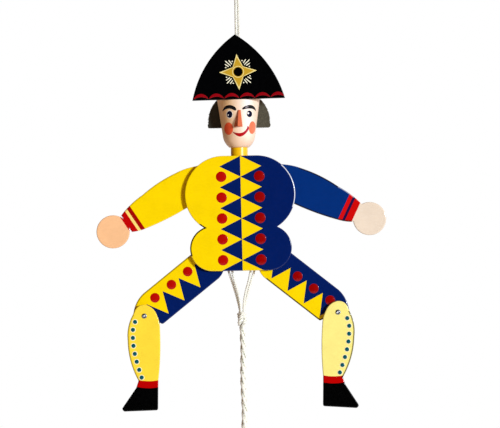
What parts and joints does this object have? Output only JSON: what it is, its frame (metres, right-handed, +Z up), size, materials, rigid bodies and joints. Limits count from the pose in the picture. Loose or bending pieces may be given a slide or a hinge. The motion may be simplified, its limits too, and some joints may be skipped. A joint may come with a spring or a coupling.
{
  "type": "jumping jack",
  "caption": "Flat wooden jumping jack soldier whose arms and legs fly up when the cord below its body is pulled.",
  "frame": {"origin": "inside top of the hanging loop, where the nail carries it", "axes": "+X to the viewer's right across the figure, +Y towards the wall behind it, +Z up along the hanging cord"},
  "size_m": [0.2324, 0.0297, 0.4006],
  "materials": {
    "body_paint": "gloss paint in a yellow and blue costume pattern on plywood",
    "back_wood": "clear matt lacquer on birch plywood",
    "yellow_paint": "gloss yellow paint on plywood",
    "blue_paint": "gloss dark blue paint on plywood",
    "cream_paint": "gloss pale yellow paint on plywood with a black boot",
    "skin_paint": "satin flesh-coloured paint on turned wood",
    "hat_paint": "satin black paint on plywood with gold, red and white decoration",
    "hair_felt": "pressed wool felt",
    "pin_wood": "bare turned beech",
    "washer_nylon": "natural nylon",
    "eye_steel": "zinc-plated wire",
    "rivet_steel": "bright nickel-plated tube",
    "cord_cotton": "off-white twisted cotton",
    "bead_wood": "clear varnish on turned beech"
  },
  "bodies": {
    "torso": {"front_plate": "body_paint", "back_plate": "back_wood", "shoulder_pin_left": "pin_wood", "shoulder_pin_right": "pin_wood", "hip_pin_left": "pin_wood", "hip_pin_right": "pin_wood", "pivot_washers": "washer_nylon", "pivot_spacers": "pin_wood", "waist_spacer": "pin_wood", "neck_dowel": "yellow_paint", "head": "skin_paint", "nose": "skin_paint", "hair": "hair_felt", "hat": "hat_paint", "screw_eye": "eye_steel", "hanging_loop": "cord_cotton", "loop_knot": "cord_cotton"},
    "pull": {"arm_string_left": "cord_cotton", "arm_string_right": "cord_cotton", "leg_string_left": "cord_cotton", "leg_string_right": "cord_cotton", "string_knot": "cord_cotton", "pull_cord": "cord_cotton", "pull_bead": "bead_wood", "end_knot": "cord_cotton"},
    "arm_left": {"arm_left": "yellow_paint", "arm_tie_left": "cord_cotton"},
    "thigh_left": {"thigh_left": "yellow_paint", "leg_tie_left": "cord_cotton"},
    "knee_left": {"knee_rivet_left": "rivet_steel", "knee_washer_left": "washer_nylon"},
    "shin_left": {"shin_left": "cream_paint"},
    "arm_right": {"arm_right": "blue_paint", "arm_tie_right": "cord_cotton"},
    "thigh_right": {"thigh_right": "blue_paint", "leg_tie_right": "cord_cotton"},
    "knee_right": {"knee_rivet_right": "rivet_steel", "knee_washer_right": "washer_nylon"},
    "shin_right": {"shin_right": "cream_paint"}
  },
  "joints": [
    {"name": "pull", "type": "slide", "parent": "torso", "child": "pull", "axis": [0, 0, -1], "range_m": [-0.0082, 0.0117]},
    {"name": "shoulder_left", "type": "hinge", "parent": "torso", "child": "arm_left", "pos_m": [-0.0298, -0.0021, -0.172], "axis": [0, 1, 0], "range_deg": [-42.2, 60.2]},
    {"name": "hip_left", "type": "hinge", "parent": "torso", "child": "thigh_left", "pos_m": [-0.0255, -0.0021, -0.2357], "axis": [0, 1, 0], "range_deg": [-42.2, 60.2]},
    {"name": "knee_hang_left", "type": "hinge", "parent": "thigh_left", "child": "knee_left", "pos_m": [-0.07824, -0.0041, -0.27735], "axis": [0, 1, 0], "range_deg": [-60.2, 42.2]},
    {"name": "knee_swing_left", "type": "hinge", "parent": "knee_left", "child": "shin_left", "pos_m": [-0.07824, -0.0066, -0.27735], "axis": [0, 1, 0], "range_deg": [-16, 60]},
    {"name": "shoulder_right", "type": "hinge", "parent": "torso", "child": "arm_right", "pos_m": [0.0298, -0.0021, -0.172], "axis": [0, -1, 0], "range_deg": [-42.2, 60.2]},
    {"name": "hip_right", "type": "hinge", "parent": "torso", "child": "thigh_right", "pos_m": [0.0255, -0.0021, -0.2357], "axis": [0, -1, 0], "range_deg": [-42.2, 60.2]},
    {"name": "knee_hang_right", "type": "hinge", "parent": "thigh_right", "child": "knee_right", "pos_m": [0.07678, -0.0041, -0.27693], "axis": [0, -1, 0], "range_deg": [-60.2, 42.2]},
    {"name": "knee_swing_right", "type": "hinge", "parent": "knee_right", "child": "shin_right", "pos_m": [0.07678, -0.0066, -0.27693], "axis": [0, -1, 0], "range_deg": [-16, 60]}
  ],
  "couplings": [
    {"joint": "shoulder_left", "follows": "pull", "rad_per_m": 89.5},
    {"joint": "hip_left", "follows": "pull", "rad_per_m": 89.5},
    {"joint": "knee_hang_left", "follows": "pull", "rad_per_m": -89.5},
    {"joint": "shoulder_right", "follows": "pull", "rad_per_m": 89.5},
    {"joint": "hip_right", "follows": "pull", "rad_per_m": 89.5},
    {"joint": "knee_hang_right", "follows": "pull", "rad_per_m": -89.5}
  ]
}
